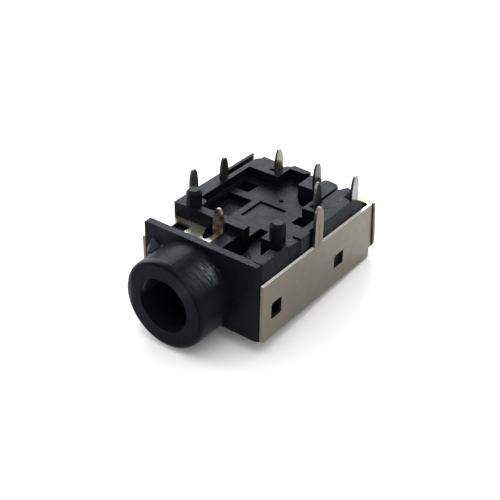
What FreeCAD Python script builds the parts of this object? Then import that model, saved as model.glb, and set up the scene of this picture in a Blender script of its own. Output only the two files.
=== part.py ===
import FreeCAD, Part
import os
import math

os.makedirs("parts", exist_ok=True)

# ---------------------------------------------------------------------------
# 3.5 mm audio jack socket for a circuit board, lying on its metal shield with
# the solder pins up. Millimetres. +Z is toward the circuit board, the plug goes
# in along +Y, +X is the side with the shield's soldered tab.
# The shapes are drawn from the middle of the shield's width, the front face of
# the moulded flange and the outside face of the shield's flat plate. Each is
# then moved so that the origin is where the plug's axis crosses the flange's
# front face.
# ---------------------------------------------------------------------------

# plug and nose
NX, NZ = -0.75, 2.05          # plug axis
NOSE_R = 3.00                 # nose outside radius
NOSE_L = 2.67                 # nose length in front of the flange
BORE_R = 1.80                 # plug hole in the nose
CHAN_R = 2.00                 # plug channel behind the flange
PLUG_R = 1.75                 # plug shank, for the springs' reach
RIM = 0.30                    # rounding of the nose's rim

# moulded body
HX = 4.40                     # half width
FL_T = 0.50                   # flange thickness
FL_TOP = 5.36                 # flange top
FL_BOT = 0.05                 # flange bottom
TOP = 5.40                    # seat on the circuit board
FLOOR = 4.66                  # sunk floor on the board side
REAR = 11.20                  # rear end of the body
BLK_Y = 2.83                  # front face of the blocks with the posts
POST_R = 0.50
POST_TOP = 6.48
POST_Y = 3.35
POST_X = 3.20

# folded shield
ST = 0.20                     # sheet
SX = 4.62                     # half width outside
SH = 4.20                     # side height
SY = 12.07                    # side length
FLAP_Z = 4.22                 # underside of the folded-over flap
RP_Y = 12.10                  # rear plate, inner face

# terminals
CT = 0.17                     # contact sheet
LZ0, LZ1 = 1.20, 2.90         # height band of the contact springs

V = FreeCAD.Vector


def box(x0, x1, y0, y1, z0, z1):
    return Part.makeBox(x1 - x0, y1 - y0, z1 - z0, V(x0, y0, z0))


def cyl_z(x, y, r, z0, z1):
    return Part.makeCylinder(r, z1 - z0, V(x, y, z0), V(0, 0, 1))


def cyl_y(x, z, r, y0, y1):
    return Part.makeCylinder(r, y1 - y0, V(x, y0, z), V(0, 1, 0))


def cyl_x(y, z, r, x0, x1):
    return Part.makeCylinder(r, x1 - x0, V(x0, y, z), V(1, 0, 0))


def prism_z(pts, z0, z1):
    """Outline in plan, x and y, raised from z0 to z1."""
    w = Part.makePolygon([V(x, y, z0) for x, y in pts] + [V(pts[0][0], pts[0][1], z0)])
    return Part.Face(w).extrude(V(0, 0, z1 - z0))


def prism_y(pts, y0, y1):
    """Outline seen from the front, x and z, run from y0 to y1."""
    w = Part.makePolygon([V(x, y0, z) for x, z in pts] + [V(pts[0][0], y0, pts[0][1])])
    return Part.Face(w).extrude(V(0, y1 - y0, 0))


def prism_x(pts, x0, x1):
    """Outline seen from the side, y and z, run from x0 to x1."""
    w = Part.makePolygon([V(x0, y, z) for y, z in pts] + [V(x0, pts[0][0], pts[0][1])])
    return Part.Face(w).extrude(V(x1 - x0, 0, 0))


def fuse(*s):
    r = s[0]
    for k in s[1:]:
        r = r.fuse(k)
    return r.removeSplitter()


def tip_outline(c, w, z0, z1, n=7):
    """A flat solder pin seen on its broad face: straight, then drawn in to a
    rounded tip. c is its centre line, w its width."""
    h = w / 2.0
    t = min(0.95, 0.6 * (z1 - z0))          # height of the drawn-in part
    r = 0.19
    pts = [(c - h, z0), (c - h, z1 - t), (c - h * 0.92, z1 - t * 0.68),
           (c - h * 0.74, z1 - t * 0.33)]
    for i in range(n):
        a = math.pi * (i + 0.5) / n
        pts.append((c - r * 1.15 * math.cos(a), z1 - r + r * math.sin(a)))
    pts += [(c + h * 0.74, z1 - t * 0.33), (c + h * 0.92, z1 - t * 0.68),
            (c + h, z1 - t), (c + h, z0)]
    return pts


# ---------------------------------------------------------------------------
# Housing: one moulding with the nose, flange, body and the two locating posts
# ---------------------------------------------------------------------------
def rounded_flange():
    x0, x1, rl, r = -HX - 0.01, HX - 0.03, 0.12, 0.32
    pts = [(x0, FL_BOT), (x1, FL_BOT)]
    for i in range(7):
        a = math.radians(i * 15)
        pts.append((x1 - r + r * math.cos(a), FL_TOP - r + r * math.sin(a)))
    for i in range(7):
        a = math.radians(90 + i * 15)
        pts.append((x0 + rl + rl * math.cos(a), FL_TOP - rl + rl * math.sin(a)))
    f = prism_y(pts, 0.0, FL_T)
    # the flange's front edge on the right is rounded more than the left
    cut = box(x1 - 0.30, x1 + 0.1, -0.1, 0.30, FL_BOT - 1, FL_TOP + 1)
    keep = cyl_z(x1 - 0.30, 0.30, 0.30, FL_BOT - 1, FL_TOP + 1)
    return f.cut(cut.cut(keep))


nose_prof = [V(0, 0, 0), V(NOSE_R, 0, 0), V(NOSE_R, 0, NOSE_L - RIM)]
arc = []
for i in range(1, 7):
    a = math.radians(i * 15)
    arc.append(V(NOSE_R - RIM + RIM * math.cos(a), 0, NOSE_L - RIM + RIM * math.sin(a)))
nose_prof += arc + [V(0, 0, NOSE_L), V(0, 0, 0)]
nose = Part.Face(Part.makePolygon(nose_prof)).revolve(V(0, 0, 0), V(0, 0, 1), 360)
nose.rotate(V(0, 0, 0), V(1, 0, 0), 90)          # length now runs toward -Y
nose.translate(V(NX, 0.0, NZ))


def hull5(base, apex):
    """Pyramid on the flange's face: base is a list of x, z, apex is x, y, z."""
    b = [V(x, 0.02, z) for x, z in base]
    a = V(*apex)
    faces = [Part.Face(Part.makePolygon(b + [b[0]]))]
    for i in range(len(b)):
        p, q = b[i], b[(i + 1) % len(b)]
        faces.append(Part.Face(Part.makePolygon([p, q, a, p])))
    s = Part.Solid(Part.Shell(faces))
    if s.Volume < 0:
        s.reverse()
    return s


# sloped web that ties the nose to the flange's upper left corner
web = hull5([(-3.70, 4.57), (-4.30, 3.50), (-4.30, 2.60), (-2.9, 2.9), (-3.00, 3.98)],
            (-3.66, -0.66, 3.66))

flange = rounded_flange()

# body: the part inside the shield, then what stands above it
body = box(-HX, HX, FL_T - 0.05, REAR, ST, FLAP_Z)
left_block = fuse(
    prism_z([(-HX, BLK_Y), (-2.75, BLK_Y), (-2.75, 3.95), (-2.83, 4.14), (-3.02, 4.22),
             (-3.42, 4.22), (-3.42, 4.90), (-HX, 4.90)], 4.44, TOP),
    box(-HX, -2.75, BLK_Y + 0.45, 4.22, 4.10, 4.50),
    box(-HX, -3.42, BLK_Y + 0.45, 4.90, 4.10, 4.50))
rail = box(-2.80, 1.06, BLK_Y, 3.45, 4.44, TOP)
rail_foot = box(-2.80, 1.06, BLK_Y + 0.45, 3.45, 4.10, 4.50)
floor_plate = prism_z([(-4.40, 3.40), (1.08, 3.40), (1.08, 4.56), (2.30, 4.56), (2.30, 3.40), (4.40, 3.40),
                       (4.40, REAR), (-4.40, REAR)], 4.10, FLOOR)
left_wall = prism_z([(-4.40, 4.85), (-3.42, 4.85), (-3.42, 9.60), (-4.18, 9.60), (-4.18, 10.88), (-4.26, 11.10),
                     (-4.40, 11.10)], 4.20, TOP)
# rear-left block, with its trimmed rear corner
rear_left = prism_z([(-3.45, 9.45), (-1.08, 9.45), (-1.10, 10.78), (-1.19, 11.09), (-1.42, 11.08), (-1.55, 10.80),
                     (-2.51, 11.11), (-3.44, 11.19), (-3.50, 10.87), (-3.73, 10.61), (-3.75, 10.23), (-3.80, 10.15),
                     (-3.80, 9.45)], 4.20, TOP)
rear_strip = prism_z([(-1.20, 10.86), (0.02, 10.86), (0.18, 11.02), (0.26, 11.14), (0.25, 11.34),
                      (-1.12, 11.41), (-1.20, 11.10)], 4.20, TOP)
rear_mid = prism_z([(0.52, 9.43), (2.38, 9.43), (2.38, 8.60), (2.70, 8.60), (2.72, 10.80), (2.50, 11.00),
                    (1.80, 11.10), (1.50, 10.95), (0.52, 10.98)], 4.20, TOP)
rear_right = prism_z([(2.40, 7.15), (HX, 7.15), (HX, 11.20), (3.66, 11.20), (3.61, 10.95),
                      (3.28, 11.11), (3.02, 10.57), (2.88, 10.40), (2.88, 8.60), (2.40, 8.60)], 4.20, TOP)
right_rib = box(3.79, HX, 4.10, 7.30, 4.20, TOP)
right_block = prism_z([(2.33, 2.87), (HX, 2.87), (HX, 4.15), (4.00, 4.32), (2.33, 4.32)], 4.00, 5.31)
small_block = box(-0.15, 0.80, FL_T - 0.05, BLK_Y + 0.1, 4.10, 4.92)
front_wall = prism_z([(3.58, FL_T - 0.05), (HX, FL_T - 0.05), (HX, 2.95), (4.06, 2.95), (4.06, 2.05), (3.58, 2.05)],
                     4.00, TOP)

# low plinth along the foot of the left wall
plinth = prism_y([(-3.44, 4.60), (-3.44, 4.81), (-3.40, 4.81), (-3.36, 4.77), (-3.36, 4.60)], 4.9, 9.46)

housing = fuse(plinth, body, flange, left_block, rail, rail_foot, floor_plate, left_wall, rear_left, rear_strip,
               rear_mid, rear_right, right_rib, right_block, small_block, front_wall)
housing = housing.fuse(nose).fuse(web).removeSplitter()

# a sunk place under the flap's window, with a small snap boss in it
housing = housing.cut(box(-3.75, -2.60, 1.10, 2.50, 3.90, 4.60))
boss = prism_x([(1.62, 3.80), (2.12, 3.80), (2.12, 4.24), (1.90, 4.24), (1.62, 4.02)], -3.42, -2.98)
housing = housing.fuse(boss)

# locating posts with bevelled tops
for s in (-1, 1):
    x = s * POST_X
    z0 = (TOP if s < 0 else 5.31) - 0.02
    post = Part.makeCylinder(POST_R, POST_TOP - 0.20 - z0, V(x, POST_Y, z0), V(0, 0, 1))
    cap = Part.makeCone(POST_R, POST_R - 0.17, 0.20, V(x, POST_Y, POST_TOP - 0.20), V(0, 0, 1))
    housing = housing.fuse(post).fuse(cap)
housing = housing.removeSplitter()

cuts = []
# the right side leans in along the front half above the shield, and runs out by the rib
cuts.append(prism_y([(HX, 4.28), (4.21, TOP), (4.21, 6.0), (4.8, 6.0), (4.8, 4.28)], 0.35, 2.90))
lean = []
for y, x in ((2.89, 4.21), (4.12, 4.37)):
    lean.append(Part.makePolygon([V(HX, y, 4.28), V(x, y, TOP), V(x, y, 6.0), V(4.8, y, 6.0), V(4.8, y, 4.28),
                                  V(HX, y, 4.28)]))
cuts.append(Part.makeLoft(lean, True, True))
# thin shadow gap between the side and the shield's top edge
cuts.append(box(4.30, 4.8, 0.35, 5.06, FLAP_Z - 0.10, FLAP_Z + 0.04))
cuts.append(box(4.34, 4.8, 6.40, REAR + 0.1, FLAP_Z - 0.10, FLAP_Z + 0.04))
# plug hole and channel, open toward the shield's plate along its middle
cuts.append(cyl_y(NX, NZ, BORE_R, -NOSE_L - 0.1, FL_T + 0.2))
cuts.append(cyl_y(NX, NZ, CHAN_R, FL_T, REAR + 0.4))
cuts.append(box(NX - 0.78, NX + 0.78, FL_T, REAR + 0.4, ST - 0.1, 0.8))
# sunk pockets in the floor
cuts.append(box(-3.24, -1.33, 4.38, 6.96, 4.16, FLOOR + 0.1))
cuts.append(box(-3.30, -2.17, 7.64, 8.80, 3.86, FLOOR + 0.1))
# bare shallow panel
cuts.append(box(-0.88, 1.20, 5.10, 7.28, FLOOR - 0.12, FLOOR + 0.1))
# vent hole
cuts.append(cyl_z(0.18, 8.05, 0.17, 4.1, FLOOR + 0.1))
# square window in the floor, and the one with a rounded corner
cuts.append(box(2.20, 3.79, 6.25, 7.20, 3.0, FLOOR + 0.1))
cuts.append(prism_z([(2.38, 8.35), (2.38, 9.43), (0.52, 9.43), (0.60, 9.28), (0.75, 9.10), (0.90, 8.93), (1.08, 8.72),
                     (1.27, 8.52), (1.45, 8.40), (1.84, 8.35)], 3.0, FLOOR + 0.1))
# channel down behind the flange, between the small block and the right block
cuts.append(prism_z([(0.80, FL_T), (1.45, FL_T), (1.45, 2.70), (1.10, 3.55), (1.10, 4.56), (0.95, 4.56), (0.95, 3.60),
                     (0.80, 3.60)], 1.2, 4.3))
cuts.append(prism_z([(0.80, BLK_Y - 0.01), (1.06, BLK_Y - 0.01), (1.06, 3.6), (0.80, 3.6)], 4.0, 4.44))
# the low shelf to its right
cuts.append(box(1.45, 3.58, FL_T, 2.87, 4.10, 4.3))
cuts.append(box(1.10, 2.33, FL_T, 4.56, 4.10, FLOOR + 0.2))
# notch in the right side for the shield's soldered tab
cuts.append(box(4.24, 4.6, 5.06, 6.40, 4.00, TOP + 0.1))

# slots and chambers for the contacts
# sleeve contact, front left
cuts.append(box(-4.60, -4.19, 4.17, 5.06, 0.90, TOP + 0.1))
cuts.append(prism_z([(-4.60, 4.45), (-4.60, 3.30), (-3.20, 0.80), (-3.10, 0.60), (-1.90, 0.60), (-1.90, 2.0), (-3.30, 4.45)], 1.0, 3.1))
# tip contact, left, open to the rear
cuts.append(box(-3.98, -3.79, 6.85, REAR + 0.1, 0.90, TOP + 0.1))
cuts.append(box(-4.18, -3.79, 7.55, REAR + 0.1, 4.30, TOP + 0.1))
cuts.append(prism_z([(-3.98, 9.4), (-3.28, 8.1), (-1.90, 8.1), (-1.90, REAR + 0.1), (-3.98, REAR + 0.1)], 1.0, 3.1))
# tip switch contact, rear left
cuts.append(box(-1.78, -1.59, 9.90, 10.80, 3.9, TOP + 0.1))
cuts.append(box(-2.12, -1.59, 9.86, 10.14, 4.9, TOP + 0.1))
cuts.append(box(-3.02, -1.59, 10.20, 10.80, 3.96, 4.20))
cuts.append(box(-3.02, -2.70, 10.20, 10.80, 1.0, 4.20))
# detect contact, rear middle
cuts.append(box(1.355, 1.545, 9.76, 11.06, 0.90, TOP + 0.1))
cuts.append(prism_z([(0.55, 7.85), (1.75, 7.85), (1.75, 10.0), (1.55, 10.1), (1.55, REAR + 0.1), (0.55, REAR + 0.1)], 1.0, 3.1))
# ring contact, right of the plug, in the groove between the rear blocks
cuts.append(box(2.70, 2.89, 7.82, 11.0, 0.90, TOP + 0.1))
cuts.append(box(2.66, 3.02, 7.52, 8.58, 4.9, TOP + 0.1))
cuts.append(prism_z([(0.55, 4.60), (1.60, 4.60), (3.06, 7.0), (3.06, 8.25), (2.30, 8.25), (0.55, 6.1)], 1.0, 3.1))
# second ring contact along the right wall
cuts.append(box(4.10, 4.29, 5.17, REAR + 0.1, 1.00, 3.10))
cuts.append(box(4.10, 4.29, 9.94, 10.78, 1.00, TOP + 0.1))
cuts.append(prism_x([(9.74, TOP), (9.74, 6.0), (11.4, 6.0), (11.4, 4.66), (11.22, 4.72), (10.50, 5.08)], 4.20, HX + 0.1))
cuts.append(prism_z([(3.70, 9.92), (4.24, 9.74), (4.29, 9.74), (4.29, REAR + 0.1), (3.64, REAR + 0.1), (3.64, 10.6)], 4.72,
                    TOP + 0.1))
cuts.append(box(2.60, 4.29, 5.17, 5.43, 1.00, 3.10))
cuts.append(prism_z([(0.55, 1.40), (1.60, 1.40), (3.06, 4.0), (3.06, 5.43), (2.30, 5.43), (0.55, 2.9)], 1.0, 3.1))

# hollows behind the shield's front windows
cuts.append(box(3.55, HX + 0.1, 0.80, 2.05, 1.25, 2.75))
cuts.append(box(-HX - 0.1, -3.75, 0.80, 2.05, 1.25, 2.75))

for c in cuts:
    housing = housing.cut(c)
housing = housing.removeSplitter()

# ---------------------------------------------------------------------------
# Shield: one folded sheet
# ---------------------------------------------------------------------------
R_OUT = 0.45                   # bend, outside


def u_section(y0, y1):
    """Plate and both sides with rounded bends."""
    pts_o, pts_i = [], []
    for i in range(7):
        a = math.radians(180 + i * 15)
        pts_o.append((-SX + R_OUT + R_OUT * math.cos(a), R_OUT + R_OUT * math.sin(a)))
    for i in range(7):
        a = math.radians(270 + i * 15)
        pts_o.append((SX - R_OUT + R_OUT * math.cos(a), R_OUT + R_OUT * math.sin(a)))
    ri = 0.02
    for i in range(4):
        a = math.radians(360 - i * 30)
        pts_i.append((SX - ST - ri + ri * math.cos(a), ST + ri + ri * math.sin(a)))
    for i in range(4):
        a = math.radians(270 - i * 30)
        pts_i.append((-SX + ST + ri + ri * math.cos(a), ST + ri + ri * math.sin(a)))
    pts = [(-SX, SH)] + pts_o + [(SX, SH), (SX - ST, SH)] + pts_i + [(-SX + ST, SH)]
    return prism_y(pts, y0, y1)


R_OUT = 0.14
shield = u_section(0.02, SY + 0.06)
# the plate starts behind the flange and leaves the nose free
shield = shield.cut(box(-SX + ST, SX - ST, -0.1, FL_T + 0.04, -0.1, ST + 0.02))
shield = shield.cut(prism_x([(-0.1, -0.1), (0.30, -0.1), (0.02, 0.25), (-0.1, 0.25)], -SX - 0.1, SX + 0.1))

# windows in both sides
for s in (-1, 1):
    x0, x1 = (SX - 0.4, SX + 0.2) if s > 0 else (-SX - 0.2, -SX + 0.4)
    shield = shield.cut(prism_x([(0.90, 1.42), (1.93, 1.42), (1.93, 2.56), (1.05, 2.56), (0.90, 2.42)], x0, x1))
    shield = shield.cut(prism_x([(7.75, 1.40), (8.80, 1.40), (8.80, 2.36), (7.88, 2.36), (7.75, 2.25)], x0, x1))

# The rear end leans: the flaps and the rear plate stand further back at the
# foot than at the top edge. LEAN is the angle, TOP_Y the shift at the top.
LEAN = 4.8
TOP_Y = 0.08


def back_at(z):
    return TOP_Y + (SH - z) * math.tan(math.radians(LEAN))


def leaned(shape, y):
    shape = shape.copy()
    shape.rotate(V(0, y, SH), V(1, 0, 0), LEAN)
    shape.translate(V(0, TOP_Y, 0))
    return shape


# flaps folded in round the rear corners, one from each side
for s in (-1, 1):
    a, b = sorted((s * (SX - ST), s * SX))
    shield = shield.fuse(prism_x([(SY - 0.1, 0.78), (SY + 0.06, 0.78), (SY + back_at(0.80), 0.80), (SY + TOP_Y, SH),
                                  (SY - 0.1, SH)], a, b))
    a, b = sorted((s * 3.25, s * (SX - 0.02)))
    shield = shield.fuse(prism_x([(SY - ST + back_at(0.80), 0.80), (SY + back_at(0.80), 0.80), (SY + TOP_Y, SH),
                                  (SY - ST + TOP_Y, SH)], a, b))
# rounded rear corners
for s in (-1, 1):
    c = box(*sorted((s * (SX - 0.10), s * (SX + 0.1))), SY - 0.10, SY + 0.1, 0.3, SH + 0.1)
    k = cyl_z(s * (SX - 0.10), SY - 0.10, 0.10, 0.2, SH + 0.2)
    shield = shield.cut(leaned(c.cut(k), SY))

# rear plate turned up from the flat plate, a little wider than the body
rear = prism_y([(-4.20, -0.1), (4.20, -0.1), (4.20, 0.62), (4.62, 0.74), (4.735, 1.02), (4.74, 2.20), (4.72, 3.60),
                (4.68, SH), (-4.68, SH), (-4.72, 3.60), (-4.74, 2.20), (-4.735, 1.02), (-4.62, 0.74), (-4.20, 0.62)],
               RP_Y, RP_Y + ST)
rear = leaned(rear, RP_Y).cut(box(-5, 5, RP_Y - 1, RP_Y + 2, -1, 0)).cut(box(-5, 5, RP_Y - 1, RP_Y + 2, SH, SH + 1))
foot_y = RP_Y + back_at(0.12)
foot = box(-4.20, 4.20, SY - 0.3, foot_y + 0.05, 0.0, ST)
shield = shield.fuse(foot).fuse(rear)
c = box(-5, 5, foot_y + ST - 0.25, foot_y + ST + 0.1, -0.1, 0.25)
k = cyl_x(foot_y + ST - 0.25, 0.25, 0.25, -5, 5)
shield = shield.cut(c.cut(k))

# soldered tab on the right side, with a pressed crease
tab = prism_x(tip_outline(5.77, 0.86, SH - 0.3, 6.90), SX - ST, SX)
shield = shield.fuse(tab)
crease = prism_z([(SX + 0.01, 5.69), (SX - 0.07, 5.745), (SX - 0.07, 5.795), (SX + 0.01, 5.85)], 3.80, 5.67)
shield = shield.cut(crease)

# flap folded over the front left of the body, with its window, a notch and a pin
flap = prism_z([(-SX + 0.01, 0.56), (-0.17, 0.56), (-0.17, 2.40), (-0.20, 2.45), (-0.20, 2.62), (-1.00, 2.62), (-1.00, 2.40),
                (-1.02, 1.98), (-1.08, 1.84), (-1.18, 1.77), (-1.30, 1.80), (-1.42, 1.92), (-1.50, 2.06),
                (-1.90, 2.98), (-1.98, 3.07), (-2.10, 3.10), (-SX + 0.01, 3.10)], FLAP_Z, FLAP_Z + ST)
flap = flap.cut(box(-3.70, -2.66, 1.15, 2.42, FLAP_Z - 0.1, FLAP_Z + ST + 0.1))
riser = box(-SX, -SX + ST, 0.56, 3.10, SH - 0.3, FLAP_Z + ST)
c = box(-SX - 0.1, -SX + 0.08, 0.5, 3.2, FLAP_Z + ST - 0.08, FLAP_Z + ST + 0.1)
k = Part.makeCylinder(0.08, 3.0, V(-SX + 0.08, 0.3, FLAP_Z + ST - 0.08), V(0, 1, 0))
flap = flap.fuse(riser).cut(c.cut(k))
pin8 = prism_y(tip_outline(-0.60, 0.80, FLAP_Z, 6.44), 2.42, 2.62)
flap = flap.fuse(pin8)
shield = shield.fuse(flap).removeSplitter()

# ---------------------------------------------------------------------------
# Contacts. Each is a stamping: a flat terminal with its solder pin, held in a
# slot of the housing, and a leaf that presses on the plug.
# ---------------------------------------------------------------------------


def blade_x(xc, yc, w, z0, z1, t=CT):
    """Flat pin whose broad face looks along X."""
    return prism_x(tip_outline(yc, w, z0, z1), xc - t / 2, xc + t / 2)


def leaf(root, apex, end, t=CT, z0=LZ0, z1=LZ1):
    """Leaf in plan: straight from the root to a rounded contact point, then
    turned away from the plug. Points are x, y on its middle line."""
    (rx, ry), (ax, ay), (ex, ey) = root, apex, end
    h = t / 2

    def off(p, q):
        dx, dy = q[0] - p[0], q[1] - p[1]
        L = math.hypot(dx, dy)
        return -dy / L * h, dx / L * h
    n1 = off(root, apex)
    n2 = off(apex, end)
    # the bend at the contact point is drawn with a short arc of three chords
    m = ((n1[0] + n2[0]) / 2, (n1[1] + n2[1]) / 2)
    ml = math.hypot(*m)
    m = (m[0] / ml * h, m[1] / ml * h)
    d1 = ((ax - rx), (ay - ry))
    L1 = math.hypot(*d1)
    a1 = (ax - d1[0] / L1 * 0.12, ay - d1[1] / L1 * 0.12)
    d2 = ((ex - ax), (ey - ay))
    L2 = math.hypot(*d2)
    a2 = (ax + d2[0] / L2 * 0.12, ay + d2[1] / L2 * 0.12)
    mid = ((a1[0] + a2[0]) / 2 * 0.35 + ax * 0.65, (a1[1] + a2[1]) / 2 * 0.35 + ay * 0.65)
    line = [root, a1, mid, a2, end]
    nn = [n1, n1, m, n2, n2]
    left = [(p[0] + n[0], p[1] + n[1]) for p, n in zip(line, nn)]
    right = [(p[0] - n[0], p[1] - n[1]) for p, n in zip(line, nn)]
    s = prism_z(left + right[::-1], z0, z1)
    # the contact end is narrower than the root
    ys = sorted((ay, ey))
    trim0 = box(min(ax, ex) - 0.6, max(ax, ex) + 0.6, ys[0] - 0.3, ys[1] + 0.35, z0 - 0.1, z0 + 0.30)
    trim1 = box(min(ax, ex) - 0.6, max(ax, ex) + 0.6, ys[0] - 0.3, ys[1] + 0.35, z1 - 0.30, z1 + 0.1)
    return s.cut(trim0).cut(trim1)


# sleeve contact: terminal in the front left wall, leaf toward the flange
X1 = -4.29
sleeve_terminal = fuse(box(X1 - CT / 2, X1 + CT / 2, 4.20, 5.03, LZ0 - 0.25, 4.95), blade_x(X1, 4.65, 0.76, 4.6, 6.96))
S_ROOT = (X1 + 0.02, 4.13)
sleeve_spring = leaf(S_ROOT, (-2.30, 1.35), (-2.56, 0.84))

# tip contact: long terminal in the left slot, turned at the rear, leaf forward
X2 = -3.885
tip_terminal = fuse(
    prism_x([(6.88, LZ0 - 0.25), (11.10, LZ0 - 0.25), (11.10, 3.05), (10.70, 4.20), (7.68, 4.45), (7.68, 4.95),
             (6.88, 4.95)], X2 - CT / 2, X2 + CT / 2),
    blade_x(X2, 7.28, 0.76, 4.6, 6.82),
    box(X2 - CT / 2, -3.63, 10.93, 11.10, LZ0, LZ1))
T_ROOT = (-3.53, 10.93)
tip_spring = leaf(T_ROOT, (-2.20, 8.75), (-2.46, 8.32))

# tip switch contact: fixed, stands beside the tip leaf
X3 = -1.685
tip_switch_terminal = fuse(
    blade_x(X3, 10.35, 0.80, 3.98, 6.90),
    box(-2.98, X3 + CT / 2, 10.24, 10.75, 3.98, 4.15),
    box(-2.98, -2.81, 10.24, 10.75, 1.25, 4.15))

# detect contact: rear middle, leaf forward on the plug's other side
X4 = 1.45
detect_terminal = fuse(
    box(X4 - CT / 2, X4 + CT / 2, 9.82, 11.03, LZ0 - 0.25, 4.95),
    blade_x(X4, 10.19, 0.78, 4.6, 6.93),
    box(1.12, X4 + CT / 2, 10.86, 11.03, LZ0, LZ1))
D_ROOT = (1.22, 10.82)
detect_spring = leaf(D_ROOT, (0.80, 8.62), (1.02, 8.20))

# ring contact: in the groove between the rear blocks
X5 = 2.795
ring_terminal = fuse(
    prism_x([(7.86, LZ0 - 0.25), (10.70, LZ0 - 0.25), (10.70, 4.10), (8.62, 4.50), (8.62, 4.95), (7.86, 4.95)],
            X5 - CT / 2, X5 + CT / 2),
    blade_x(X5, 8.22, 0.72, 4.6, 6.91))
R_ROOT = (X5 - 0.02, 7.79)
ring_spring = leaf(R_ROOT, (0.80, 5.45), (1.06, 4.98))

# second ring contact: along the right wall, turned in, leaf toward the front
X7 = 4.195
mic_terminal = fuse(
    box(X7 - CT / 2, X7 + CT / 2, 5.20, 10.75, LZ0, LZ1),
    box(X7 - CT / 2, X7 + CT / 2, 9.98, 10.73, LZ0, 4.95),
    blade_x(X7, 10.36, 0.73, 4.6, 6.90),
    box(2.66, X7 + CT / 2, 5.20, 5.37, LZ0, LZ1))
M_ROOT = (2.56, 5.27)
mic_spring = leaf(M_ROOT, (0.80, 2.30), (1.06, 1.82))

nodes = {
    "housing": housing,
    "shield": shield,
    "sleeve_terminal": sleeve_terminal,
    "sleeve_spring": sleeve_spring,
    "mic_ring_terminal": mic_terminal,
    "mic_ring_spring": mic_spring,
    "ring_terminal": ring_terminal,
    "ring_spring": ring_spring,
    "tip_terminal": tip_terminal,
    "tip_spring": tip_spring,
    "tip_switch_terminal": tip_switch_terminal,
    "detect_terminal": detect_terminal,
    "detect_spring": detect_spring,
}

for name, shape in nodes.items():
    shape = shape.removeSplitter()
    shape.translate(V(-NX, 0, -NZ))
    nodes[name] = shape
    if shape.ShapeType != "Solid" and len(shape.Solids) == 1:
        shape = shape.Solids[0]
    print(name, "solids", len(shape.Solids), "volume %.3f" % shape.Volume, "valid", shape.isValid())
    shape.exportStep("parts/%s.step" % name)
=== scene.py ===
import bpy
import math
from mathutils import Vector, Matrix

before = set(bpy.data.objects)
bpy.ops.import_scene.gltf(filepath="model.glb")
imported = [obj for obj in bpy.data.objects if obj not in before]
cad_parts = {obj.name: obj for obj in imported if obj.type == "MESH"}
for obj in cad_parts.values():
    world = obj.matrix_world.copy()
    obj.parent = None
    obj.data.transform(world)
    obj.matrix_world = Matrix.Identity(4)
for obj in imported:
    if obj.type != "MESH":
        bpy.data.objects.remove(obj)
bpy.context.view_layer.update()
MM = 0.001

# The CAD shapes were drawn from the middle of the shield's width, the flange's
# front face and the shield's flat plate. This takes such a point to the frame.
OFF = Vector((0.75, 0.0, -2.05))


def P(x, y, z):
    return (Vector((x, y, z)) + OFF) * MM


# ---------------------------------------------------------------------------
# Camera: azimuth, elevation, roll, distance, aim point and lens solved from
# the picture's edges
# ---------------------------------------------------------------------------
AZ, EL, ROLL = math.radians(36.597), math.radians(33.060), math.radians(0.790)
back = Vector((math.sin(AZ) * math.cos(EL), -math.cos(AZ) * math.cos(EL), math.sin(EL)))
right = Vector((math.cos(AZ), math.sin(AZ), 0.0))
up = back.cross(right)
r2 = right * math.cos(ROLL) + up * math.sin(ROLL)
u2 = -right * math.sin(ROLL) + up * math.cos(ROLL)
cam_data = bpy.data.cameras.new("camera")
cam_data.sensor_fit = "HORIZONTAL"
cam_data.sensor_width = 36.0
cam_data.lens = 1062.4 * 36.0 / 500.0
cam_data.shift_x = (250.0 - 240.79) / 500.0
cam_data.shift_y = (248.81 - 250.0) / 500.0
cam_data.clip_start = 0.005
cam_data.clip_end = 5.0
cam = bpy.data.objects.new("camera", cam_data)
bpy.context.scene.collection.objects.link(cam)
m = Matrix((r2, u2, back)).transposed().to_4x4()
m.translation = P(0.001, 4.001, 3.0) + back * 66.80 * MM
cam.matrix_world = m
bpy.context.scene.camera = cam


# ---------------------------------------------------------------------------
# Node helpers
# ---------------------------------------------------------------------------
class Mat:
    def __init__(self, name):
        self.m = bpy.data.materials.new(name)
        self.m.use_nodes = True
        self.nt = self.m.node_tree
        self.bsdf = self.nt.nodes["Principled BSDF"]
        self.out = self.nt.nodes["Material Output"]

    def n(self, kind, **kw):
        node = self.nt.nodes.new(kind)
        for k, v in kw.items():
            setattr(node, k, v)
        return node

    def link(self, a, b):
        self.nt.links.new(a, b)

    def set(self, name, value):
        self.bsdf.inputs[name].default_value = value

    def coords(self):
        return self.n("ShaderNodeTexCoord").outputs["Object"]

    def noise(self, scale, detail=4.0, rough=0.55, vec=None, dist=0.0):
        t = self.n("ShaderNodeTexNoise")
        t.inputs["Scale"].default_value = scale
        t.inputs["Detail"].default_value = detail
        t.inputs["Roughness"].default_value = rough
        t.inputs["Distortion"].default_value = dist
        self.link(vec if vec is not None else self.coords(), t.inputs["Vector"])
        return t.outputs["Fac"]

    def ramp(self, fac, stops):
        r = self.n("ShaderNodeValToRGB")
        e = r.color_ramp.elements
        e[0].position, e[0].color = stops[0][0], stops[0][1]
        e[1].position, e[1].color = stops[-1][0], stops[-1][1]
        for p, c in stops[1:-1]:
            x = e.new(p)
            x.color = c
        self.link(fac, r.inputs["Fac"])
        return r.outputs["Color"]

    def rng(self, fac, a, b, c, d):
        r = self.n("ShaderNodeMapRange")
        r.inputs["From Min"].default_value = a
        r.inputs["From Max"].default_value = b
        r.inputs["To Min"].default_value = c
        r.inputs["To Max"].default_value = d
        self.link(fac, r.inputs["Value"])
        return r.outputs["Result"]

    def bump(self, fac, strength, distance, prev=None):
        b = self.n("ShaderNodeBump")
        b.inputs["Strength"].default_value = strength
        b.inputs["Distance"].default_value = distance
        self.link(fac, b.inputs["Height"])
        if prev is not None:
            self.link(prev, b.inputs["Normal"])
        return b.outputs["Normal"]


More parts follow.
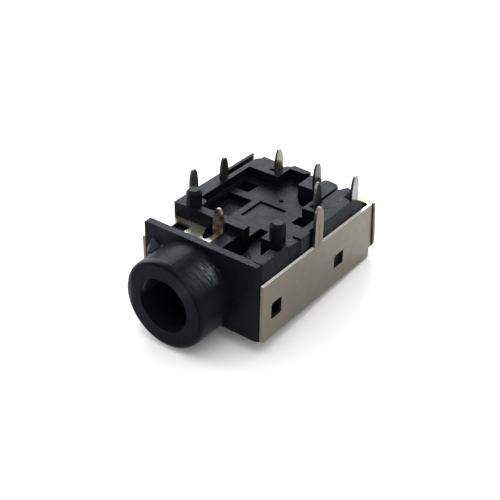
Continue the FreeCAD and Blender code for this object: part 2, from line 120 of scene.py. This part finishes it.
def grey(v, a=1.0):
    return (v, v, v, a)


def black_plastic():
    """Glossy black moulding: fine grain, faint flow clouds, a parting line and scuffs on the nose, with
    painted highlights and shade on the nose, its lip and the web. The object origin lies on the plug's axis."""
    k = Mat("black_plastic")
    co = k.coords()
    sep = k.n("ShaderNodeSeparateXYZ")
    k.link(co, sep.inputs[0])
    X, Y, Z = sep.outputs

    def mth(op, a, b=None, clamp=False):
        t = k.n("ShaderNodeMath", operation=op, use_clamp=clamp)
        for i, v in enumerate((a, b)):
            if v is None:
                continue
            if isinstance(v, (int, float)):
                t.inputs[i].default_value = v
            else:
                k.link(v, t.inputs[i])
        return t.outputs[0]

    # on the nose: angle about the plug's axis, and how far along it
    ang = mth("ARCTAN2", Z, X)
    on_nose = mth("MULTIPLY", k.rng(Y, -0.00001, -0.00006, 0, 1), k.rng(mth("ABSOLUTE", Z), 0.0033, 0.0031, 0, 1))
    wob = k.rng(k.noise(700.0, 2, vec=co), 0.3, 0.7, -0.03, 0.03)
    barrel = mth("MULTIPLY", on_nose, k.rng(Y, -0.00235, -0.00255, 1, 0))
    left_half = mth("MULTIPLY", barrel, k.rng(mth("ADD", ang, wob), math.radians(81.0), math.radians(81.8), 0, 1))
    line = mth("MULTIPLY", barrel, mth("SUBTRACT", 1.0, k.rng(mth("ABSOLUTE", mth("SUBTRACT", ang, math.radians(81.0))),
                                                             0.004, 0.012, 0, 1)))

    def blob(c, r, soft, stretch=(1, 1, 1), rot=(0, 0, 0), n_scale=5000.0, lo=0.52, hi=0.62):
        mp = k.n("ShaderNodeMapping", vector_type="POINT")
        mp.inputs["Location"].default_value = [-v * MM for v in c]
        k.link(co, mp.inputs["Vector"])
        ln = k.n("ShaderNodeVectorMath", operation="LENGTH")
        k.link(mp.outputs[0], ln.inputs[0])
        m = k.rng(ln.outputs["Value"], r * MM, (r + soft) * MM, 1, 0)
        m2 = k.n("ShaderNodeMapping", vector_type="POINT")
        m2.inputs["Rotation"].default_value = rot
        m2.inputs["Scale"].default_value = stretch
        k.link(co, m2.inputs["Vector"])
        nz = k.noise(n_scale, 5, 0.7, vec=m2.outputs[0])
        return mth("MULTIPLY", m, k.rng(nz, lo, hi, 0, 1))

    # scuffs: short scratches that run round the nose, thickest by the flange; the streaky band on the nose's right side
    # is a painted highlight
    cv = k.n("ShaderNodeCombineXYZ")
    k.link(mth("MULTIPLY", ang, 3.2), cv.inputs[0])
    k.link(mth("MULTIPLY", mth("ADD", Y, mth("MULTIPLY", ang, 0.0004)), 5600.0), cv.inputs[1])
    streak = k.noise(1.0, 4, 0.75, vec=cv.outputs[0])
    arc = mth("MULTIPLY", k.rng(ang, math.radians(30), math.radians(47), 0, 1), k.rng(ang, math.radians(54), math.radians(69), 1, 0))
    along = mth("MULTIPLY", k.rng(Y, -0.0003, -0.0006, 0, 1), k.rng(Y, -0.0012, -0.0026, 1, 0.25))
    scuffed_painted_highlight = mth("MULTIPLY", mth("MULTIPLY", arc, mth("MULTIPLY", along, on_nose)), k.rng(streak, 0.30, 0.68, 0.12, 1.0))
    scuff = mth("MULTIPLY", blob((2.02, -0.80, 2.20), 0.12, 0.75, n_scale=5200.0, lo=0.40, hi=0.60), k.rng(streak, 0.46, 0.66, 0, 1))
    scuff2 = mth("MULTIPLY", blob((1.32, -0.75, 2.70), 0.05, 0.40, n_scale=5200.0, lo=0.50, hi=0.66), k.rng(streak, 0.52, 0.70, 0, 0.6))
    nick = blob((-2.22, -0.02, 1.93), 0.06, 0.14, n_scale=9000.0, lo=0.40, hi=0.6)
    scuffs = mth("ADD", mth("ADD", scuff, scuff2), nick, True)

    # base colour: near black; the faces turned to the right above the shield get a set greyer tone,
    # painted light for the light they catch from the right
    cloud = k.noise(330.0, 5, vec=co)
    grain = k.noise(3600.0, 4, 0.7, vec=co)
    base = k.ramp(cloud, [(0.35, (0.0032, 0.0040, 0.0058, 1)), (0.70, (0.0050, 0.0060, 0.0082, 1))])
    nsep = k.n("ShaderNodeSeparateXYZ")
    k.link(k.n("ShaderNodeTexCoord").outputs["Normal"], nsep.inputs[0])
    side = mth("MULTIPLY", mth("MULTIPLY", k.rng(nsep.outputs[0], 0.80, 0.95, 0, 1), k.rng(Z, 0.0021, 0.0023, 0, 1)),
               k.rng(X, 0.00455, 0.0047, 0, 1))
    # web: painted highlight; the web on the nose's left is painted much lighter where light falls on it
    web = mth("MULTIPLY", mth("MULTIPLY", k.rng(X, -0.0024, -0.0027, 0, 1), k.rng(Y, -0.00004, -0.00012, 0, 1)), on_nose)

    def mix_to(fac, a, col):
        m = k.n("ShaderNodeMix", data_type="RGBA")
        k.link(fac, m.inputs["Factor"])
        k.link(a, m.inputs["A"])
        m.inputs["B"].default_value = col
        return m.outputs["Result"]

    # painted shade: the nose's front face is darkened towards near black
    front = mth("MULTIPLY", k.rng(nsep.outputs[1], -0.80, -0.95, 0, 1), k.rng(Y, -0.0024, -0.0026, 0, 1))
    base = mix_to(mth("MULTIPLY", front, 0.95), base, (0.0004, 0.0008, 0.0020, 1))
    # painted light on the right-facing faces above the shield
    col = mix_to(mth("MULTIPLY", side, k.rng(grain, 0.3, 0.7, 0.6, 1.0)), base, (0.0040, 0.0044, 0.0056, 1))
    col = mix_to(mth("MULTIPLY", web, k.rng(grain, 0.3, 0.7, 0.5, 1.0)), col, (0.055, 0.061, 0.064, 1))
    # the barrel's left half above the parting line is rougher, and is also painted lighter as a painted sheen
    col = mix_to(mth("MULTIPLY", left_half, 0.35), col, (0.020, 0.024, 0.027, 1))
    # painted highlight on the nose's right side, streaked by the scuffs
    col = mix_to(mth("MULTIPLY", scuffed_painted_highlight, 0.50), col, (0.100, 0.115, 0.120, 1))
    # painted highlight: a crescent on the upper-left of the nose's lip is painted lighter where light catches the
    # rounded lip
    lip_painted_highlight = mth("MULTIPLY", mth("MULTIPLY", k.rng(Y, -0.00222, -0.00238, 0, 1), k.rng(Y, -0.00252, -0.00262, 1, 0)),
               mth("MULTIPLY", k.rng(ang, math.radians(84), math.radians(108), 0, 1),
                   k.rng(ang, math.radians(160), math.radians(179), 1, 0)))
    col = mix_to(mth("MULTIPLY", lip_painted_highlight, k.rng(grain, 0.3, 0.7, 0.55, 0.95)), col, (0.070, 0.078, 0.083, 1))
    col = mix_to(scuffs, col, (0.24, 0.27, 0.28, 1))
    k.link(col, k.bsdf.inputs["Base Color"])
    # gloss: satin with a fine mottling
    ro = k.rng(k.noise(1500.0, 5, vec=co), 0.3, 0.7, 0.24, 0.38)
    ro = mth("ADD", ro, mth("MULTIPLY", scuffs, 0.25))
    ro = mth("ADD", ro, mth("MULTIPLY", left_half, 0.06))
    lip = k.rng(Y, -0.00235, -0.00250, 0, 1)
    ro = mth("SUBTRACT", ro, mth("MULTIPLY", lip, 0.09))
    k.link(ro, k.bsdf.inputs["Roughness"])
    k.set("Specular IOR Level", 0.050)
    k.set("Specular Tint", (0.73, 0.87, 1.0, 1.0))
    nb = k.bump(k.noise(9000.0, 3, vec=co), 0.30, 0.000012)
    nb = k.bump(mth("MULTIPLY", grain, k.rng(Y, -0.0003, 0.0006, 0.30, 1.0)), 0.75, 0.000065, nb)
    nb = k.bump(k.noise(900.0, 2, vec=co), 0.30, 0.00003, nb)
    nb = k.bump(mth("ADD", line, mth("MULTIPLY", scuffs, 0.6)), 0.6, 0.00003, nb)
    k.link(nb, k.bsdf.inputs["Normal"])
    return k.m


def shield_metal():
    """Tin-plated sheet: satin, faint rolling streaks and clouds, tarnish on
    the pin that stands on the flap."""
    k = Mat("shield_metal")
    co = k.coords()
    mp = k.n("ShaderNodeMapping", vector_type="POINT")
    mp.inputs["Scale"].default_value = (1.0, 0.06, 1.0)
    k.link(co, mp.inputs["Vector"])
    streak = k.noise(5200.0, 4, 0.6, vec=mp.outputs[0])
    cloud = k.noise(260.0, 4, 0.6, vec=co)
    c1 = k.ramp(cloud, [(0.35, (0.150, 0.134, 0.105, 1)), (0.70, (0.182, 0.167, 0.133, 1))])
    c2 = k.ramp(streak, [(0.30, (0.93, 0.93, 0.93, 1)), (0.70, (1.05, 1.05, 1.05, 1))])
    mul = k.n("ShaderNodeMix", data_type="RGBA", blend_type="MULTIPLY")
    mul.inputs["Factor"].default_value = 1.0
    k.link(c1, mul.inputs["A"])
    k.link(c2, mul.inputs["B"])
    # tarnished pin on the flap
    c = P(-0.60, 2.52, 5.55)
    sep = k.n("ShaderNodeSeparateXYZ")
    k.link(co, sep.inputs[0])
    vm = k.n("ShaderNodeVectorMath", operation="SUBTRACT")
    k.link(co, vm.inputs[0])
    vm.inputs[1].default_value = (c.x, c.y, 0.0)
    sc = k.n("ShaderNodeVectorMath", operation="MULTIPLY")
    k.link(vm.outputs[0], sc.inputs[0])
    sc.inputs[1].default_value = (1.0, 1.0, 0.0)
    ln = k.n("ShaderNodeVectorMath", operation="LENGTH")
    k.link(sc.outputs[0], ln.inputs[0])
    near = k.rng(ln.outputs["Value"], 0.00052, 0.00062, 1, 0)
    high = k.rng(sep.outputs[2], P(0, 0, 4.32).z, P(0, 0, 4.55).z, 0, 1)
    mm = k.n("ShaderNodeMath", operation="MULTIPLY")
    k.link(near, mm.inputs[0])
    k.link(high, mm.inputs[1])
    patch = k.rng(k.noise(2600.0, 4, vec=co), 0.32, 0.60, 0.55, 1.0)
    mm2 = k.n("ShaderNodeMath", operation="MULTIPLY")
    k.link(mm.outputs[0], mm2.inputs[0])
    k.link(patch, mm2.inputs[1])
    # the flap folded over the front is more polished than the sides, and its colour is painted lighter than theirs as
    # painted light, darker towards its left end
    fl = k.n("ShaderNodeMath", operation="MULTIPLY")
    k.link(k.rng(sep.outputs[2], P(0, 0, 4.10).z, P(0, 0, 4.30).z, 0, 1), fl.inputs[0])
    k.link(k.rng(sep.outputs[0], P(0.4, 0, 0).x, P(0.8, 0, 0).x, 1, 0), fl.inputs[1])
    polish_and_painted_light = k.n("ShaderNodeMix", data_type="RGBA")
    k.link(fl.outputs[0], polish_and_painted_light.inputs["Factor"])
    k.link(mul.outputs["Result"], polish_and_painted_light.inputs["A"])
    k.link(k.ramp(k.rng(sep.outputs[0], P(-4.3, 0, 0).x, P(-3.2, 0, 0).x, 0, 1),
                  [(0.0, (0.24, 0.225, 0.175, 1)), (1.0, (0.46, 0.445, 0.375, 1))]), polish_and_painted_light.inputs["B"])
    brown = k.n("ShaderNodeMix", data_type="RGBA")
    k.link(mm2.outputs[0], brown.inputs["Factor"])
    k.link(polish_and_painted_light.outputs["Result"], brown.inputs["A"])
    mott = k.noise(3400.0, 5, 0.7, vec=co)
    k.link(k.ramp(mott, [(0.40, (0.042, 0.031, 0.024, 1)), (0.60, (0.215, 0.155, 0.108, 1))]), brown.inputs["B"])
    # cut edges: the sheared top of the right side is rough and torn, and painted almost white as a painted highlight
    # line;
    # the ends that face forward at the rear are dull
    nsep = k.n("ShaderNodeSeparateXYZ")
    k.link(k.n("ShaderNodeTexCoord").outputs["Normal"], nsep.inputs[0])

    def both(a, b):
        t = k.n("ShaderNodeMath", operation="MULTIPLY")
        k.link(a, t.inputs[0])
        k.link(b, t.inputs[1])
        return t.outputs[0]

    right_side = k.rng(sep.outputs[0], P(4.10, 0, 0).x, P(4.20, 0, 0).x, 0, 1)
    sheared = both(both(k.rng(nsep.outputs[2], 0.45, 0.75, 0, 1), right_side),
                   both(k.rng(sep.outputs[2], P(0, 0, 3.2).z, P(0, 0, 3.4).z, 0, 1),
                        k.rng(sep.outputs[2], P(0, 0, 5.0).z, P(0, 0, 5.2).z, 1, 0)))
    dull = both(both(k.rng(nsep.outputs[1], -0.6, -0.85, 0, 1), right_side), k.rng(sep.outputs[1], P(0, 2, 0).y, P(0, 2.4, 0).y, 0, 1))
    e1 = k.n("ShaderNodeMix", data_type="RGBA")
    k.link(dull, e1.inputs["Factor"])
    k.link(brown.outputs["Result"], e1.inputs["A"])
    e1.inputs["B"].default_value = (0.150, 0.140, 0.115, 1)
    e2 = k.n("ShaderNodeMix", data_type="RGBA")
    # painted highlight: the sheared top edge is painted almost white
    k.link(sheared, e2.inputs["Factor"])
    k.link(e1.outputs["Result"], e2.inputs["A"])
    e2.inputs["B"].default_value = (0.74, 0.71, 0.63, 1)
    rear_top = both(k.rng(nsep.outputs[2], 0.45, 0.75, 0, 1), k.rng(sep.outputs[1], P(0, 12.14, 0).y, P(0, 12.18, 0).y, 0, 1))
    e3 = k.n("ShaderNodeMix", data_type="RGBA")
    k.link(rear_top, e3.inputs["Factor"])
    k.link(e2.outputs["Result"], e3.inputs["A"])
    e3.inputs["B"].default_value = (0.200, 0.195, 0.175, 1)
    k.link(e3.outputs["Result"], k.bsdf.inputs["Base Color"])
    # the flap's rubbed plating scatters a little and the sheared top edge more, so their painted lighter colours show;
    # the rest of the sides don't
    k.link(both(k.rng(sheared, 0, 1, 1.0, 0.25), k.rng(fl.outputs[0], 0, 1, 1.0, 0.88)), k.bsdf.inputs["Metallic"])
    r1 = k.rng(k.noise(1500.0, 4, vec=co), 0.3, 0.7, 0.30, 0.40)
    r2_ = k.n("ShaderNodeMath", operation="MULTIPLY")
    k.link(k.rng(fl.outputs[0], 0, 1, 1.0, 0.82), r2_.inputs[0])
    k.link(r1, r2_.inputs[1])
    k.link(r2_.outputs[0], k.bsdf.inputs["Roughness"])
    nb = k.bump(streak, 0.12, 0.000008)
    nb = k.bump(k.noise(1100.0, 3, vec=co), 0.20, 0.00002, nb)
    nb = k.bump(k.rng(k.noise(3900.0, 2, vec=co), 0.68, 0.76, 0, 1), 0.35, 0.00002, nb)
    k.link(nb, k.bsdf.inputs["Normal"])
    return k.m


def pin_metal(name, a, b, rough, edge):
    """Stamped terminals: plated, tarnished in blotches; the cut edges that face the front (the faces across
    the sheet) get a set colour per terminal: painted shade on most, a painted highlight on the ring terminal."""
    k = Mat(name)
    k.set("Metallic", 0.85)
    co = k.coords()
    nsep = k.n("ShaderNodeSeparateXYZ")
    k.link(k.n("ShaderNodeTexCoord").outputs["Normal"], nsep.inputs[0])
    # painted light and shade: front-facing cut edges take the set edge colour, darker than the faces on most terminals
    cut = k.rng(nsep.outputs[1], -0.5, -0.85, 0, 1)
    mix = k.n("ShaderNodeMix", data_type="RGBA")
    k.link(cut, mix.inputs["Factor"])
    k.link(k.ramp(k.noise(1500.0, 5, 0.65, vec=co), [(0.36, a), (0.64, b)]), mix.inputs["A"])
    mix.inputs["B"].default_value = edge
    k.link(mix.outputs["Result"], k.bsdf.inputs["Base Color"])
    k.link(k.rng(k.noise(2500.0, 4, vec=co), 0.3, 0.7, rough[0], rough[1]), k.bsdf.inputs["Roughness"])
    k.link(k.bump(k.noise(3200.0, 3, vec=co), 0.20, 0.000015), k.bsdf.inputs["Normal"])
    return k.m


PL, SH = black_plastic(), shield_metal()
SP = pin_metal("spring_metal", (0.52, 0.44, 0.28, 1), (0.62, 0.53, 0.36, 1), (0.18, 0.28), (0.40, 0.33, 0.20, 1))
# each terminal is tarnished to its own degree
TERM = {
    "sleeve_terminal": pin_metal("terminal_sleeve", (0.150, 0.140, 0.130, 1), (0.230, 0.215, 0.195, 1), (0.24, 0.36),
                                 (0.040, 0.038, 0.036, 1)),
    "tip_terminal": pin_metal("terminal_tip", (0.062, 0.054, 0.042, 1), (0.120, 0.105, 0.076, 1), (0.28, 0.40),
                              (0.030, 0.027, 0.022, 1)),
    "tip_switch_terminal": pin_metal("terminal_tip_switch", (0.180, 0.168, 0.125, 1), (0.340, 0.322, 0.255, 1),
                                     (0.18, 0.28), (0.110, 0.105, 0.080, 1)),
    "detect_terminal": pin_metal("terminal_detect", (0.085, 0.081, 0.068, 1), (0.190, 0.182, 0.155, 1), (0.20, 0.32),
                                 (0.050, 0.050, 0.043, 1)),
    # the ring terminal's front-facing cut edges are painted lighter, as a painted highlight
    "ring_terminal": pin_metal("terminal_ring", (0.095, 0.102, 0.096, 1), (0.155, 0.165, 0.158, 1), (0.16, 0.26),
                               (0.300, 0.310, 0.300, 1)),
    "mic_ring_terminal": pin_metal("terminal_mic_ring", (0.230, 0.232, 0.228, 1), (0.320, 0.323, 0.316, 1),
                                   (0.18, 0.28), (0.085, 0.085, 0.082, 1)),
}
for name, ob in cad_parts.items():
    mat = PL if name == "housing" else SH if name == "shield" else TERM.get(name, SP)
    for i in range(max(1, len(ob.material_slots))):
        if not ob.material_slots:
            ob.data.materials.append(mat)
        ob.material_slots[i].material = mat
    w = ob.modifiers.new("weld", "WELD")
    w.merge_threshold = 1e-6
    b = ob.modifiers.new("edge", "BEVEL")
    b.width = (0.045 if name == "housing" else 0.035 if name == "shield" else 0.03) * MM
    b.segments = 2
    b.limit_method = "ANGLE"
    b.angle_limit = math.radians(32)
    b.use_clamp_overlap = True
    b.harden_normals = False

# ---------------------------------------------------------------------------
# Floor and light
# ---------------------------------------------------------------------------
tilt = math.atan2(0.96, 12.55)
me = bpy.data.meshes.new("floor")
S = 1.0
me.from_pydata([(-S, -S, 0), (S, -S, 0), (S, S, 0), (-S, S, 0)], [], [(0, 1, 2, 3)])
floor = bpy.data.objects.new("floor", me)
bpy.context.scene.collection.objects.link(floor)
floor.matrix_world = Matrix.Translation(P(0, 0, -0.962)) @ Matrix.Rotation(tilt, 4, "X")
f = Mat("floor_paint")
f.link(f.ramp(f.noise(6.0, 3), [(0.3, grey(0.86)), (0.7, grey(0.89))]), f.bsdf.inputs["Base Color"])
f.set("Roughness", 0.9)
me.materials.append(f.m)

world = bpy.data.worlds.new("world")
bpy.context.scene.world = world
world.use_nodes = True
world.node_tree.nodes["Background"].inputs["Color"].default_value = (1, 1, 1, 1)
world.node_tree.nodes["Background"].inputs["Strength"].default_value = 1.0


def area(name, size, power, loc, look, col=(1, 1, 1)):
    d = bpy.data.lights.new(name, "AREA")
    d.shape = "RECTANGLE"
    d.size, d.size_y = size
    d.energy = power
    d.color = col
    o = bpy.data.objects.new(name, d)
    bpy.context.scene.collection.objects.link(o)
    o.location = loc
    o.rotation_euler = (Vector(look) - Vector(loc)).to_track_quat("-Z", "Y").to_euler()
    return o


c0 = P(0, 5.5, 3.0)
c1 = P(-2.5, 7.5, 5.5)
area("window", (0.055, 0.045), 0.057, c1 + Vector((-0.50, 0.673, 0.546)) * 0.08, c1, (0.93, 0.97, 1.0))
c2 = P(-1.5, -2.0, 3.5)
area("left_strip", (0.05, 0.03), 0.030, c2 + Vector((-0.93, -0.25, 0.27)) * 0.09, c2, (0.95, 0.98, 1.0))
area("rear_right", (0.09, 0.06), 0.014, c0 + Vector((0.546, 0.673, 0.50)) * 0.16, c0, (1.0, 0.98, 0.94))
area("overhead", (0.20, 0.20), 0.20, c0 + Vector((0.03, -0.03, 0.22)), c0)

bpy.context.scene.view_settings.view_transform = "Standard"
